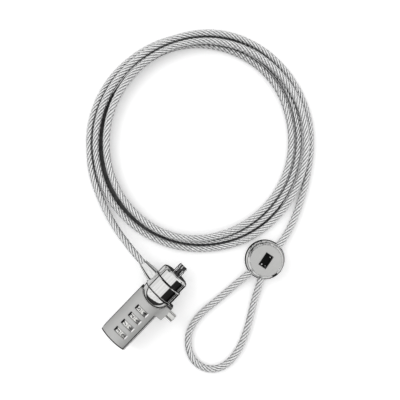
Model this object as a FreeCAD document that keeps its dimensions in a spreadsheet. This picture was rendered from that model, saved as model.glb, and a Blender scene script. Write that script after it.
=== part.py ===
import FreeCAD, Part
import math
import os
import re

# Combination cable lock: a four-dial lock head with a swivelling cable collar,
# a coated wire rope wound in a loose coil, and a round loop stop.
# Millimetres. +X runs from the tail of the lock head to its nose, +Y towards
# the cable socket, +Z up. The origin is under the middle of the lock head.

V = FreeCAD.Vector
doc = FreeCAD.newDocument("CableLock")
sheet = doc.addObject("Spreadsheet::Sheet", "dims")
sheet.Label = "dims"

CELLS = [
    # where the collar's centre stands in the row frame
    ("collar_x", 13.1), ("collar_y", -0.958), ("axis_z", 10.5),
    # swivel collar and cable socket
    ("collar_r", 10.4), ("collar_bore_r", 7.05), ("collar_back", -4.7), ("collar_front", 4.4),
    ("socket_root_r", 4.45), ("socket_tip_r", 2.75), ("socket_tip_y", 20.3), ("socket_lean", 7.0),
    # neck
    ("neck_r", 9.9), ("neck_cx", -5.0), ("neck_back", -14.0), ("journal_r", 7.0), ("spigot_r", 5.0),
    # nose
    ("nose_r", 9.6), ("nose_back", 4.7), ("nose_front", 12.3), ("guide_out", 3.0), ("guide_in", 1.75),
    ("guide_tip", 15.6),
    # tee bar
    ("tee_tip", 18.6), ("tee_back", 16.0), ("tee_half", 3.0), ("tee_thick", 2.7), ("stem_r", 1.45),
    ("shaft_r", 1.5), ("tail_shaft_r", 1.0),
    # housing
    ("tail_x", -44.8), ("body_front", -9.2), ("side_right", -9.05), ("side_left", 10.35),
    ("arch_r", 13.8), ("arch_z", 4.6), ("plate_t", 0.5), ("ledge", 0.7), ("ear_back", -15.6),
    ("ear_front", -5.1), ("ear_out", -13.1), ("ear_low", 3.0), ("ear_top", 14.1), ("plate_front", -6.9),
    ("scoop_r", 10.9), ("pocket_r", 10.3),
    # dials
    ("dial_pitch", 6.2), ("dial_first", -37.4), ("dial_r", 7.7), ("dial_band", 2.9), ("flange_r", 6.7),
    ("flange_w", 5.4), ("sleeve_r", 4.6), ("sleeve_bore_r", 2.65), ("sleeve_w", 5.2), ("spindle_r", 2.6),
    ("window_w", 3.3), ("window_len", 9.2), ("groove_r", 8.0), ("flange_bore_r", 7.0), ("cavity_half", 8.0),
    ("cavity_back", -41.0), ("cover_t", 1.8), ("cover_back", -43.4), ("cover_front", -13.2),
    ("cover_half", 8.1),
    # button, rack and pinion
    ("button_r", 2.7), ("button_out", -18.4), ("button_in", -9.5), ("button_x", -9.9), ("gear_module", 0.5),
    ("gear_teeth", 8), ("pinion_back", -11.4), ("pinion_front", -8.5), ("rack_back", -11.2),
    ("rack_front", -8.6), ("rack_low", 6.2), ("rack_end", 2.4),
    # loop stop
    ("stop_x", 57.0), ("stop_y", -34.8), ("stop_r", 12.5), ("stop_h", 11.3), ("split_z", 3.4),
    ("face_r", 9.7), ("face_t", 0.6), ("slot_len", 9.3), ("slot_wid", 5.6), ("slot_turn", 10.4),
    # cable
    ("cable_r", 2.25), ("channel_r", 2.34), ("coil_x", 83.3), ("coil_y", 47.4), ("coil_out", 73.3),
    ("coil_in", 56.0), ("coil_h", 9.3),
]
for row, (name, value) in enumerate(CELLS, start=1):
    sheet.set("A%d" % row, name)
    sheet.set("B%d" % row, str(value))
    sheet.setAlias("B%d" % row, name)
doc.recompute()
NAMES = set(n for n, _ in CELLS)
D = {n: float(getattr(sheet, n)) for n in NAMES}


def ex(text):
    """Turn 'tail_x + 1' into an expression on the sheet."""
    return re.sub(r"[a-z_][a-z_0-9]*", lambda w: "dims." + w.group(0) if w.group(0) in NAMES else w.group(0), str(text))


def bind(obj, prop, text):
    obj.setExpression(prop, ex(text))


def place(obj, x, y, z):
    bind(obj, "Placement.Base.x", x)
    bind(obj, "Placement.Base.y", y)
    bind(obj, "Placement.Base.z", z)


ROT = {"Z": FreeCAD.Rotation(), "X": FreeCAD.Rotation(V(0, 1, 0), 90), "Y": FreeCAD.Rotation(V(1, 0, 0), -90)}


def cyl(name, r, length, x, y, z, way="Z"):
    c = doc.addObject("Part::Cylinder", name)
    bind(c, "Radius", r)
    bind(c, "Height", length)
    c.Placement = FreeCAD.Placement(V(0, 0, 0), ROT[way])
    place(c, x, y, z)
    return c


def block(name, x0, x1, y0, y1, z0, z1):
    b = doc.addObject("Part::Box", name)
    bind(b, "Length", "(%s) - (%s)" % (x1, x0))
    bind(b, "Width", "(%s) - (%s)" % (y1, y0))
    bind(b, "Height", "(%s) - (%s)" % (z1, z0))
    place(b, x0, y0, z0)
    return b


def ball(name, r, x, y, z):
    s = doc.addObject("Part::Sphere", name)
    bind(s, "Radius", r)
    place(s, x, y, z)
    return s


def fuse(name, shapes):
    f = doc.addObject("Part::MultiFuse", name)
    f.Shapes = shapes
    f.Refine = True
    return f


def common(name, shapes):
    f = doc.addObject("Part::MultiCommon", name)
    f.Shapes = shapes
    return f


def cut(name, base, tools):
    tool = tools[0] if len(tools) == 1 else fuse(name + "_tools", tools)
    c = doc.addObject("Part::Cut", name)
    c.Base = base
    c.Tool = tool
    c.Refine = True
    return c


def sketch_poly(body, name, role, pts):
    """A closed polygon whose corners are held by dimensions from the sheet."""
    sk = body.newObject("Sketcher::SketchObject", name)
    plane = [f for f in body.Origin.OriginFeatures if f.Role == role][0]
    sk.AttachmentSupport = [(plane, "")]
    sk.MapMode = "FlatFace"
    val = [(float(eval_cell(a)), float(eval_cell(b))) for a, b in pts]
    n = len(pts)
    for i in range(n):
        a, b = val[i], val[(i + 1) % n]
        sk.addGeometry(Part.LineSegment(V(a[0], a[1], 0), V(b[0], b[1], 0)), False)
    import Sketcher
    for i in range(n):
        sk.addConstraint(Sketcher.Constraint("Coincident", i, 2, (i + 1) % n, 1))
    for i in range(n):
        for kind, k, axis in (("DistanceX", 0, -2), ("DistanceY", 1, -1)):
            if abs(val[i][k]) < 1e-9:
                sk.addConstraint(Sketcher.Constraint("PointOnObject", i, 1, axis))
            else:
                c = sk.addConstraint(Sketcher.Constraint(kind, -1, 1, i, 1, val[i][k]))
                sk.setExpression("Constraints[%d]" % c, ex(pts[i][k]))
    return sk


def eval_cell(text):
    """Value of a short sum such as 'tail_x + 1.5' from the sheet's numbers."""
    total, sign = 0.0, 1.0
    for tok in re.findall(r"[a-z_][a-z_0-9]*|[0-9.]+|[+-]", str(text)):
        if tok == "+":
            continue
        if tok == "-":
            sign = -sign
            continue
        total += sign * (D[tok] if tok in D else float(tok))
        sign = 1.0
    return total


def revolved(name, pts, axis):
    body = doc.addObject("PartDesign::Body", name)
    sk = sketch_poly(body, name + "_profile", "XZ_Plane", pts)
    rev = body.newObject("PartDesign::Revolution", name + "_turned")
    rev.Profile = sk
    rev.ReferenceAxis = (sk, [axis])
    rev.Angle = 360
    body.Tip = rev
    return body


def padded(name, role, pts, length, symmetric=False):
    body = doc.addObject("PartDesign::Body", name)
    sk = sketch_poly(body, name + "_outline", role, pts)
    pad = body.newObject("PartDesign::Pad", name + "_pad")
    pad.Profile = sk
    bind(pad, "Length", length)
    if symmetric:
        pad.SideType = "Symmetric" if hasattr(pad, "SideType") else pad.SideType
    body.Tip = pad
    return body


NODES = []
LOCK = []


def node(obj, label, lock=True):
    """Name a finished piece and stand it in the row frame."""
    obj.Label = label
    rot = obj.Placement.Rotation
    base = obj.Placement.Base
    obj.Placement = FreeCAD.Placement(V(base.x + D["collar_x"], base.y + D["collar_y"], base.z), rot)
    NODES.append((label, obj))
    if lock:
        LOCK.append(label)


def node_e(obj, label, lock=True):
    """As node, with the placement bound to the sheet."""
    obj.Label = label
    place(obj, "collar_x", "collar_y", "0")
    NODES.append((label, obj))
    if lock:
        LOCK.append(label)


# --- swivel collar with its cable socket ------------------------------------
collar_ring = revolved("collar_ring", [
    ("collar_back", "7.05"), ("collar_back", "collar_r - 0.45"), ("collar_back + 0.45", "collar_r"),
    ("collar_front - 0.45", "collar_r"), ("collar_front", "collar_r - 0.45"), ("collar_front", "7.05")], "H_Axis")
place(collar_ring, "0", "0", "axis_z")
socket = revolved("socket_cone", [
    ("0", "8.0"), ("socket_root_r", "8.0"), ("socket_root_r", "10.0"), ("socket_root_r - 0.2", "12.0"),
    ("socket_root_r - 0.62", "14.5"), ("socket_root_r - 1.15", "17.0"), ("socket_tip_r + 0.12", "19.3"),
    ("socket_tip_r - 0.15", "20.15"), ("0", "20.15")], "V_Axis")
# the cone's own axis is its Z; it is laid along +Y, leaning towards the nose
tilt = FreeCAD.Rotation(V(0, 0, 1), -D["socket_lean"]).multiply(FreeCAD.Rotation(V(1, 0, 0), -90))
socket.Placement = FreeCAD.Placement(V(-0.4, 0, D["axis_z"]), tilt)
socket_hole = doc.addObject("Part::Cylinder", "socket_hole")
bind(socket_hole, "Radius", "cable_r + 0.2")
socket_hole.Height = 30
socket_hole.Placement = FreeCAD.Placement(V(-0.4, 0, D["axis_z"]), tilt)
stop_hole = doc.addObject("Part::Cylinder", "stop_hole")
stop_hole.Radius = 2.9
stop_hole.Height = 14.6
stop_hole.Placement = FreeCAD.Placement(V(-0.4, 0, D["axis_z"]), tilt)
collar_clear = revolved("collar_clear", [("collar_front", "0"), ("collar_front", "9.95"), ("8.5", "9.95"), ("8.5", "0")], "H_Axis")
place(collar_clear, "0", "0", "axis_z")
back_clear = revolved("back_clear", [("-12.0", "0"), ("-12.0", "14"), ("collar_back", "14"), ("collar_back", "0")], "H_Axis")
place(back_clear, "0", "0", "axis_z")
collar_bore = cyl("collar_bore", "collar_bore_r", "30", "-15", "0", "axis_z", "X")
collar = cut("cable_collar_cut", fuse("collar_solid", [collar_ring, socket]),
             [socket_hole, stop_hole, collar_clear, back_clear, collar_bore])
node_e(collar, "cable_collar")

end_stop = doc.addObject("Part::Cylinder", "end_stop_body")
end_stop.Radius = 2.85
end_stop.Height = 5.0
end_stop_bore = doc.addObject("Part::Cylinder", "end_stop_bore")
bind(end_stop_bore, "Radius", "cable_r + 0.01")
end_stop_bore.Height = 6.0
end_stop_bore.Placement.Base = V(0, 0, 2.4)
stop_cut = cut("cable_end_stop_cut", end_stop, [end_stop_bore])
ax = tilt.multVec(V(0, 0, 1))
start = V(-0.4, 0, D["axis_z"]) + ax * 9.5
stop_cut.Placement = FreeCAD.Placement(start, tilt)
node(stop_cut, "cable_end_stop")

# --- neck: domed shoulder, collar journal and nose spigot -------------------
dome = common("neck_dome", [ball("neck_ball", "neck_r", "neck_cx", "0", "axis_z"),
                            block("neck_keep", "neck_back", "-4.95", "-11", "11", "-1", "22")])
journal = cyl("neck_journal", "journal_r", "9.8", "-5.3", "0", "axis_z", "X")
spigot = cyl("neck_spigot", "spigot_r", "5.0", "4.0", "0", "axis_z", "X")
chamber = cyl("pinion_chamber", "2.6", "3.7", "-12.0", "0", "axis_z", "X")
rack_way = block("rack_way", "rack_back - 0.3", "rack_front + 0.3", "-11", "rack_end + 3.4", "rack_low - 0.2", "9.0")
head_way = block("rack_head_way", "rack_back - 0.3", "rack_front + 0.3", "-11", "-5.3", "rack_low - 0.2", "13.0")
button_way = cyl("button_way", "button_r + 0.05", "6.0", "button_x", "-12.0", "axis_z", "Y")
spring_way = cyl("spring_way", "1.3", "1.4", "button_x", "rack_end + 3.3", "7.1", "Y")
shaft_way = cyl("shaft_way", "shaft_r + 0.05", "20", "-8.4", "0", "axis_z", "X")
tail_way = cyl("tail_shaft_way", "tail_shaft_r + 0.05", "3", "-13.3", "0", "axis_z", "X")
spindle_way = cyl("spindle_way", "spindle_r + 0.05", "2.2", "-15.5", "0", "axis_z", "X")
pin_ways = [cyl("neck_pin_way_%d" % k, "0.77", "4.9", "-10.5", y, "1.0", "Z") for k, y in enumerate(("3.5", "-3.5"))]
neck = cut("neck_cut", fuse("neck_solid", [dome, journal, spigot]),
           [chamber, rack_way, head_way, button_way, spring_way, shaft_way, tail_way, spindle_way] + pin_ways)
node_e(neck, "neck_body")

pins = fuse("neck_pins_set", [cyl("neck_pin_%d" % k, "0.75", "5.2", "-10.5", y, "0.5", "Z") for k, y in enumerate(("3.5", "-3.5"))])
node_e(pins, "neck_pins")

# --- nose barrel and nose face ----------------------------------------------
barrel = revolved("nose_barrel_body", [
    ("nose_back", "spigot_r + 0.02"), ("nose_back", "nose_r - 0.3"), ("nose_back + 0.3", "nose_r"),
    ("nose_front - 1.9", "nose_r"), ("nose_front - 1.1", "nose_r - 0.45"), ("nose_front - 0.45", "nose_r - 1.5"),
    ("nose_front - 0.05", "nose_r - 3.2"), ("nose_front", "nose_r - 4.2"), ("nose_front", "4.5"),
    ("9.1", "4.5"), ("9.1", "spigot_r + 0.02")], "H_Axis")
place(barrel, "collar_x", "collar_y", "axis_z")
barrel.Label = "nose_barrel"
NODES.append(("nose_barrel", barrel)); LOCK.append("nose_barrel")

face_disc = cyl("nose_face_disc", "4.45", "3.4", "9.15", "0", "axis_z", "X")
guide_l = block("guide_left", "12.3", "guide_tip", "guide_in", "guide_out", "axis_z - 1.35", "axis_z + 1.35")
guide_r = block("guide_right", "12.3", "guide_tip", "-guide_out", "-guide_in", "axis_z - 1.35", "axis_z + 1.35")
face_way = cyl("face_way", "shaft_r + 0.05", "8", "9", "0", "axis_z", "X")
nose_face = cut("nose_face_cut", fuse("nose_face_solid", [face_disc, guide_l, guide_r]), [face_way])
node_e(nose_face, "nose_face")

# --- tee bar, its pinion and clip -------------------------------------------
shaft = cyl("tee_shaft", "shaft_r", "20.9", "-8.4", "0", "axis_z", "X")
tail_shaft = cyl("tee_tail", "tail_shaft_r", "5.0", "-13.0", "0", "axis_z", "X")
stem = cyl("tee_stem", "stem_r", "4.0", "12.3", "0", "axis_z", "X")
head = doc.addObject("Part::Chamfer", "tee_head")
head_block = block("tee_head_block", "tee_back", "tee_tip", "-tee_half", "tee_half", "axis_z - tee_thick / 2", "axis_z + tee_thick / 2")
doc.recompute()
edges = []
for i, e in enumerate(head_block.Shape.Edges, start=1):
    c = e.BoundBox
    if c.XMin > D["tee_tip"] - 0.01:
        edges.append((i, 0.4, 0.4))
head.Base = head_block
head.Edges = edges
groove = block("tee_groove", "tee_back - 1", "tee_tip + 1", "-0.95", "-0.5", "axis_z + tee_thick / 2 - 0.35", "axis_z + 3")
tee = cut("t_bar_cut", fuse("t_bar_solid", [shaft, tail_shaft, stem, head]), [groove])
node_e(tee, "t_bar")


def polygon_face(pts, x):
    vs = [V(x, y, z) for y, z in pts]
    return Part.Face(Part.makePolygon(vs + [vs[0]]))


def pinion_outline(mod, teeth, backlash):
    """Involute pinion, pressure angle 25 degrees, short teeth, a gap at the bottom."""
    pa = math.radians(25)
    rp = mod * teeth / 2
    rb = rp * math.cos(pa)
    ra = rp + 0.7 * mod
    rr = rp - 0.9 * mod
    inv = lambda a: math.tan(a) - a
    half = (math.pi * mod / 2 - backlash) / (2 * rp)
    pts = []
    for k in range(teeth):
        mid = math.radians(-90 + 180.0 / teeth + 360.0 * k / teeth)
        side = []
        for j in range(7):
            r = rb + (ra - rb) * j / 6.0
            a = math.acos(min(1.0, rb / r))
            side.append((r, half + inv(pa) - inv(a)))
        base_half = half + inv(pa)
        lower = [(rr, base_half + 0.02)]
        up = lower + side
        for r, a in up:
            pts.append((r * math.cos(mid - a), r * math.sin(mid - a)))
        for r, a in reversed(up):
            pts.append((r * math.cos(mid + a), r * math.sin(mid + a)))
    return pts


az = D["axis_z"]
wheel_pts = [(y, z + az) for y, z in pinion_outline(D["gear_module"], int(D["gear_teeth"]), 0.07)]
wheel = polygon_face(wheel_pts, D["pinion_back"]).extrude(V(D["pinion_front"] - D["pinion_back"], 0, 0))
wheel = wheel.cut(Part.makeCylinder(D["tail_shaft_r"] + 0.005, 10, V(-15, 0, az), V(1, 0, 0)))
pinion = doc.addObject("Part::Feature", "pinion_shape")
pinion.Shape = wheel
node(pinion, "pinion")

clip_ring = cyl("clip_ring", "1.9", "0.3", "-11.85", "0", "axis_z", "X")
clip_bore = cyl("clip_bore", "tail_shaft_r + 0.005", "2", "-12.5", "0", "axis_z", "X")
clip_gap = block("clip_gap", "-12.5", "-11", "-0.45", "0.45", "axis_z", "axis_z + 3")
clip = cut("t_bar_clip_cut", clip_ring, [clip_bore, clip_gap])
node_e(clip, "t_bar_clip")

# --- push button, rack and return spring ------------------------------------
button = revolved("push_button_body", [
    ("0", "0"), ("button_r - 0.35", "0"), ("button_r", "0.35"), ("button_r", "8.9"), ("0", "8.9")], "V_Axis")
button.Placement = FreeCAD.Placement(V(0, 0, 0), ROT["Y"])
bind(button, "Placement.Base.x", "collar_x + button_x")
bind(button, "Placement.Base.y", "collar_y + button_out")
bind(button, "Placement.Base.z", "axis_z")
button.Label = "push_button"
NODES.append(("push_button", button)); LOCK.append("push_button")

mod = D["gear_module"]
pitch = math.pi * mod
line = az - mod * D["gear_teeth"] / 2
tip, root = line + 0.7 * mod, line - 0.9 * mod
tan_pa = math.tan(math.radians(25))
half = (pitch / 2 - 0.07) / 2
pts = [(-9.5, D["rack_low"]), (D["rack_end"], D["rack_low"]), (D["rack_end"], root)]
for k in (1, 0, -1, -2, -3, -4):
    y = k * pitch
    hr = half + (line - root) * tan_pa
    ht = half - (tip - line) * tan_pa
    pts += [(y + hr, root), (y + ht, tip), (y - ht, tip), (y - hr, root)]
pts += [(-8.7, root), (-8.7, 12.6), (-9.5, 12.6)]
rack_solid = polygon_face(pts, D["rack_back"]).extrude(V(D["rack_front"] - D["rack_back"], 0, 0))
rack = doc.addObject("Part::Feature", "rack_shape")
rack.Shape = rack_solid
node(rack, "button_rack")


spring_outer = cyl("spring_outer", "1.0", "3.9", "button_x", "rack_end + 0.25", "7.1", "Y")
spring_inner = cyl("spring_inner", "0.66", "6", "button_x", "rack_end - 1", "7.1", "Y")
spring = cut("button_spring_cut", spring_outer, [spring_inner])
node_e(spring, "button_spring")

# --- housing ----------------------------------------------------------------
arch_out = cyl("arch_outer", "arch_r", "60", "tail_x", "0", "arch_z", "X")
arch_gap = cyl("arch_gap", "arch_r - plate_t", "70", "tail_x - 5", "0", "arch_z", "X")
plate_main = block("plate_main", "tail_x", "body_front", "side_right + ledge", "side_left", "12", "22")
plate_right = block("plate_right", "ear_back", "plate_front", "side_right + 0.2", "-6.0", "12", "22")
band = cut("plate_band", common("plate_zone", [arch_out, fuse("plate_blocks", [plate_main, plate_right])]), [arch_gap])
ear_skin = padded("plate_ear", "YZ_Plane", [
    ("-6.9", "15.02"), ("-8.0", "15.85"), ("-9.6", "15.05"), ("-11.4", "14.45"), ("ear_out", "ear_top - 0.1"),
    ("ear_out", "ear_top - 0.9"), ("ear_out + 0.5", "ear_top - 0.54"), ("-7.0", "15.01")], "plate_front - ear_back")
place(ear_skin, "ear_back", "0", "0")
plate_solid = fuse("plate_solid", [band, ear_skin])
arch_in = cyl("arch_inner", "arch_r - plate_t", "60", "tail_x", "0", "arch_z", "X")
main_block = block("housing_block", "tail_x", "body_front", "side_right", "side_left", "0", "22")
main_d = common("housing_arch", [arch_in, main_block])
low_block = block("housing_low", "tail_x", "body_front", "side_right", "side_left", "0", "8")
ear = padded("housing_ear", "YZ_Plane", [
    ("-7.0", "ear_low"), ("-7.0", "15.0"), ("ear_out + 0.5", "ear_top - 0.55"), ("ear_out", "ear_top - 1.1"),
    ("ear_out", "ear_low + 1.0"), ("ear_out + 1.0", "ear_low")], "ear_front - ear_back")
place(ear, "ear_back", "0", "0")
pocket = ball("neck_pocket", "pocket_r", "neck_cx", "0", "axis_z")
rack_room = block("rack_room", "rack_back - 0.3", "rack_front + 0.3", "-10.3", "-5.0", "rack_low - 0.2", "13.0")
ear_bore = cyl("ear_bore", "button_r + 0.05", "9", "button_x", "-14", "axis_z", "Y")
upper_bore = cyl("dial_bore", "flange_bore_r", "25.4", "cavity_back", "0", "axis_z", "X")
lower_cav = block("lower_cavity", "cavity_back", "-15.6", "-cavity_half", "cavity_half", "1", "axis_z")
cover_way = block("cover_way", "cover_back", "cover_front", "-cover_half", "cover_half", "-1", "cover_t")
tools = [pocket, ear_bore, rack_room, upper_bore, lower_cav, cover_way,
         cyl("spindle_socket", "spindle_r + 0.02", "31", "-42.3", "0", "axis_z", "X"),
         cyl("selector_way", "2.45", "1.9", "tail_x - 0.1", "0", "axis_z", "X")]
for i in range(4):
    x = "dial_first + %d * dial_pitch" % i
    tools.append(cyl("dial_groove_%d" % (i + 1), "groove_r", "window_w", x + " - window_w / 2", "0", "axis_z", "X"))
    tools.append(block("window_%d" % (i + 1), x + " - window_w / 2", x + " + window_w / 2",
                       "-window_len / 2", "window_len / 2", "14.5", "22"))
SCREWS = (("-41.95", "5.5"), ("-41.95", "-5.5"), ("-14.6", "5.5"), ("-14.6", "-5.5"))
for k, (x, y) in enumerate(SCREWS):
    tools.append(cyl("screw_hole_%d" % k, "0.8", "3.0", x, y, "1.5", "Z"))
for k, y in enumerate(("3.5", "-3.5")):
    tools.append(cyl("housing_pin_hole_%d" % k, "0.76", "4.0", "-10.5", y, "0.5", "Z"))
housing = cut("housing_cut", fuse("housing_solid", [main_d, low_block, ear]), tools + [plate_solid])
node_e(housing, "housing_shell")

scoop = ball("plate_scoop", "scoop_r", "neck_cx", "0", "axis_z")
plate_tools = [scoop]
for i in range(4):
    x = "dial_first + %d * dial_pitch" % i
    plate_tools.append(block("plate_window_%d" % (i + 1), x + " - window_w / 2", x + " + window_w / 2",
                             "-window_len / 2", "window_len / 2", "14.5", "22"))
plate = cut("face_plate_cut", plate_solid, plate_tools)
node_e(plate, "face_plate")

cover = block("base_plate", "cover_back + 0.03", "cover_front - 0.03", "-cover_half + 0.03", "cover_half - 0.03", "0", "cover_t")
cover_tools = []
for k, (x, y) in enumerate(SCREWS):
    cover_tools.append(cyl("cover_hole_%d" % k, "0.85", "4", x, y, "-1", "Z"))
    cover_tools.append(cyl("cover_sink_%d" % k, "1.35", "0.9", x, y, "-0.1", "Z"))
cover_node = cut("base_cover_cut", cover, cover_tools)
node_e(cover_node, "base_cover")

screws = []
for k, (x, y) in enumerate(SCREWS):
    h_ = cyl("screw_head_%d" % k, "1.3", "0.75", x, y, "0.03", "Z")
    s_ = cyl("screw_shank_%d" % k, "0.8", "3.6", x, y, "0.5", "Z")
    d_ = block("screw_drive_%d" % k, x + " - 1.1", x + " + 1.1", y + " - 0.18", y + " + 0.18", "-0.2", "0.35")
    screws.append(cut("screw_%d" % k, fuse("screw_solid_%d" % k, [h_, s_]), [d_]))
screw_set = fuse("cover_screws_set", screws)
node_e(screw_set, "cover_screws")

strip = block("spring_strip", "-40.2", "-16.2", "2.4", "4.8", "cover_t", "cover_t + 0.3")
bumps = []
for i in range(4):
    x = "dial_first + %d * dial_pitch" % i
    bumps.append(block("spring_bump_%d" % i, x + " - 1.1", x + " + 1.1", "3.2", "4.0", "cover_t + 0.2", "cover_t + 1.45"))
detent = fuse("detent_spring_set", [strip] + bumps)
node_e(detent, "detent_spring")

# --- code spindle with one lug beside each dial ------------------------------
rod = cyl("spindle_rod", "spindle_r", "28.7", "-42.2", "0", "axis_z", "X")
lugs = []
for i in range(4):
    x = "dial_first + %d * dial_pitch - 3.4" % i
    lugs.append(block("spindle_lug_%d" % i, x, x + " + 0.6", "-0.7", "0.7", "axis_z", "axis_z + 3.6"))
spindle = fuse("spindle_set", [rod] + lugs)
node_e(spindle, "spindle")

sel = cyl("selector_disc", "2.4", "1.6", "tail_x + 0.15", "0", "axis_z", "X")
sel_slot = block("selector_slot", "tail_x - 0.5", "tail_x + 0.85", "-0.35", "0.35", "axis_z - 4", "axis_z + 4")
selector = cut("reset_selector_cut", sel, [sel_slot])
node_e(selector, "reset_selector")

# --- dials -------------------------------------------------------------------
for i in range(4):
    n = i + 1
    dial = revolved("dial_%d_body" % n, [
        ("-2.7", "sleeve_r"), ("-2.7", "flange_r"), ("-1.45", "flange_r"), ("-1.45", "dial_r - 0.15"),
        ("-1.3", "dial_r"), ("1.3", "dial_r"), ("1.45", "dial_r - 0.15"), ("1.45", "flange_r"),
        ("2.7", "flange_r"), ("2.7", "sleeve_r")], "H_Axis")
    notches = []
    for k in range(10):
        b = doc.addObject("Part::Box", "notch_%d_%d" % (n, k))
        b.Length = 4
        b.Width = 0.5
        b.Height = 0.5
        a = math.radians(36 * k)
        rot = FreeCAD.Rotation(V(1, 0, 0), math.degrees(a) + 45)
        b.Placement = FreeCAD.Placement(V(-2, -math.sin(a) * (D["dial_r"] - 0.36), math.cos(a) * (D["dial_r"] - 0.36)), rot)
        notches.append(b)
    dial_cut = cut("dial_%d_cut" % n, dial, notches)
    dial_cut.Label = "dial_%d" % n
    place(dial_cut, "collar_x + dial_first + %d * dial_pitch" % i, "collar_y", "axis_z")
    NODES.append(("dial_%d" % n, dial_cut)); LOCK.append("dial_%d" % n)
    hub = cyl("sleeve_hub_%d" % n, "sleeve_r", "sleeve_w", "-sleeve_w / 2", "0", "0", "X")
    bore = cyl("sleeve_bore_%d" % n, "sleeve_bore_r", "8", "-4", "0", "0", "X")
    gate = block("sleeve_gate_%d" % n, "-4", "4", "-0.85", "0.85", "0", "3.75")
    sleeve = cut("sleeve_%d_cut" % n, hub, [bore, gate])
    sleeve.Label = "code_sleeve_%d" % n
    place(sleeve, "collar_x + dial_first + %d * dial_pitch" % i, "collar_y", "axis_z")
    NODES.append(("code_sleeve_%d" % n, sleeve)); LOCK.append("code_sleeve_%d" % n)


# --- cable -------------------------------------------------------------------
# Routes in millimetres from the collar's centre.
TAIL = [
    (1.11, 12.31, 10.5), (2.15, 20.8, 10.5), (3.0, 29.6, 10.3), (3.95, 38.0, 8.8), (5.1, 46.2, 6.6),
    (7.0, 54.6, 4.4), (9.5, 62.5, 2.95), (12.5, 70.0, 2.35), (16.2, 77.9, 2.3), (20.8, 85.4, 2.3), (26.0, 91.8, 2.3)]
LOOP = [
    (127.8, -8.1, 2.3), (117.7, -15.4, 2.3), (106.9, -22.2, 2.3), (95.4, -28.0, 2.3), (85.0, -32.2, 2.5),
    (74.4, -34.9, 3.15), (62.0, -35.6, 3.4), (48.5, -34.6, 3.4), (36.6, -33.0, 2.85), (26.0, -32.2, 2.35),
    (15.5, -31.0, 2.3), (5.5, -29.8, 2.3), (-3.2, -30.1, 2.3), (-10.8, -32.5, 2.3), (-16.4, -36.6, 2.3),
    (-20.4, -42.2, 2.3), (-22.2, -49.0, 2.3), (-20.7, -56.0, 2.3), (-16.2, -61.5, 2.3), (-9.2, -64.5, 2.3),
    (0.8, -64.2, 2.3), (12.0, -60.6, 2.3), (23.4, -54.4, 2.3), (34.2, -47.9, 2.35), (43.2, -43.7, 2.9),
    (50.2, -39.6, 3.4)]


def route_wire(pts, label=None):
    """Straight runs joined by tangent arcs."""
    p = [V(*q) for q in pts]
    edges, last, radii = [], p[0], []
    length = 0.0
    for i in range(1, len(p) - 1):
        a, b = p[i - 1] - p[i], p[i + 1] - p[i]
        run = min(a.Length, b.Length)
        ua, ub = a.normalize(), b.normalize()
        turn = math.pi - ua.getAngle(ub)
        d = 0.45 * run
        radius = d / math.tan(turn / 2)
        radii.append((i, round(radius, 1), round(math.degrees(turn), 1)))
        s, e = p[i] + ua * d, p[i] + ub * d
        bis = (ua + ub).normalize()
        mid = p[i] + bis * (radius / math.cos(turn / 2) - radius)
        edges.append(Part.LineSegment(last, s).toShape())
        edges.append(Part.Arc(s, mid, e).toShape())
        length += (s - last).Length + radius * turn
        last = e
    edges.append(Part.LineSegment(last, p[-1]).toShape())
    length += (p[-1] - last).Length
    if label:
        print(label, "length %.1f" % length, "smallest radius %.1f" % min(r for _, r, _ in radii),
              "largest turn %.1f" % max(t for _, _, t in radii))
        print("   radii", radii)
    return Part.Wire(edges), length


def tube(pts, radius, label=None):
    wire, length = route_wire(pts, label)
    first = V(*pts[1]) - V(*pts[0])
    prof = Part.Wire(Part.makeCircle(radius, V(*pts[0]), first))
    solid = wire.makePipeShell([prof], True, False)
    if label:
        want = math.pi * radius ** 2 * length
        print("   volume %.1f, section times length %.1f" % (solid.Volume, want))
    return solid


tail = doc.addObject("Part::Feature", "cable_tail_shape")
tail.Shape = tube(TAIL, D["cable_r"], "cable_tail")
node(tail, "cable_tail", lock=False)
loop_tube = doc.addObject("Part::Feature", "cable_loop_shape")
loop_tube.Shape = tube(LOOP, D["cable_r"], "cable_loop")
node(loop_tube, "cable_loop", lock=False)

coil = revolved("cable_coil_body", [
    ("coil_in", "2.2"), ("coil_in + 0.7", "0.6"), ("coil_in + 2.2", "0"), ("coil_out - 2.2", "0"),
    ("coil_out - 0.7", "0.6"), ("coil_out", "2.2"), ("coil_out", "coil_h - 2.2"), ("coil_out - 0.7", "coil_h - 0.6"),
    ("coil_out - 2.2", "coil_h"), ("coil_in + 2.2", "coil_h"), ("coil_in + 0.7", "coil_h - 0.6"),
    ("coil_in", "coil_h - 2.2")], "V_Axis")
place(coil, "collar_x + coil_x", "collar_y + coil_y", "0")
coil.Label = "cable_coil"
NODES.append(("cable_coil", coil))

# --- loop stop ---------------------------------------------------------------
channel = doc.addObject("Part::Feature", "channel_shape")
channel.Shape = tube(LOOP[3:10], D["channel_r"])
end_way = doc.addObject("Part::Feature", "end_way_shape")
end_way.Shape = tube(LOOP[-4:], D["channel_r"])
limb = (V(*LOOP[-1]) - V(*LOOP[-2])).normalize()
limb_rot = FreeCAD.Rotation(V(0, 0, 1), limb)
ferrule_at = V(*LOOP[-1]) - limb * 3.4
ferrule_way = doc.addObject("Part::Cylinder", "ferrule_way")
ferrule_way.Radius = 2.75
ferrule_way.Height = 3.6
ferrule_way.Placement = FreeCAD.Placement(ferrule_at - limb * 0.1, limb_rot)

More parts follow.
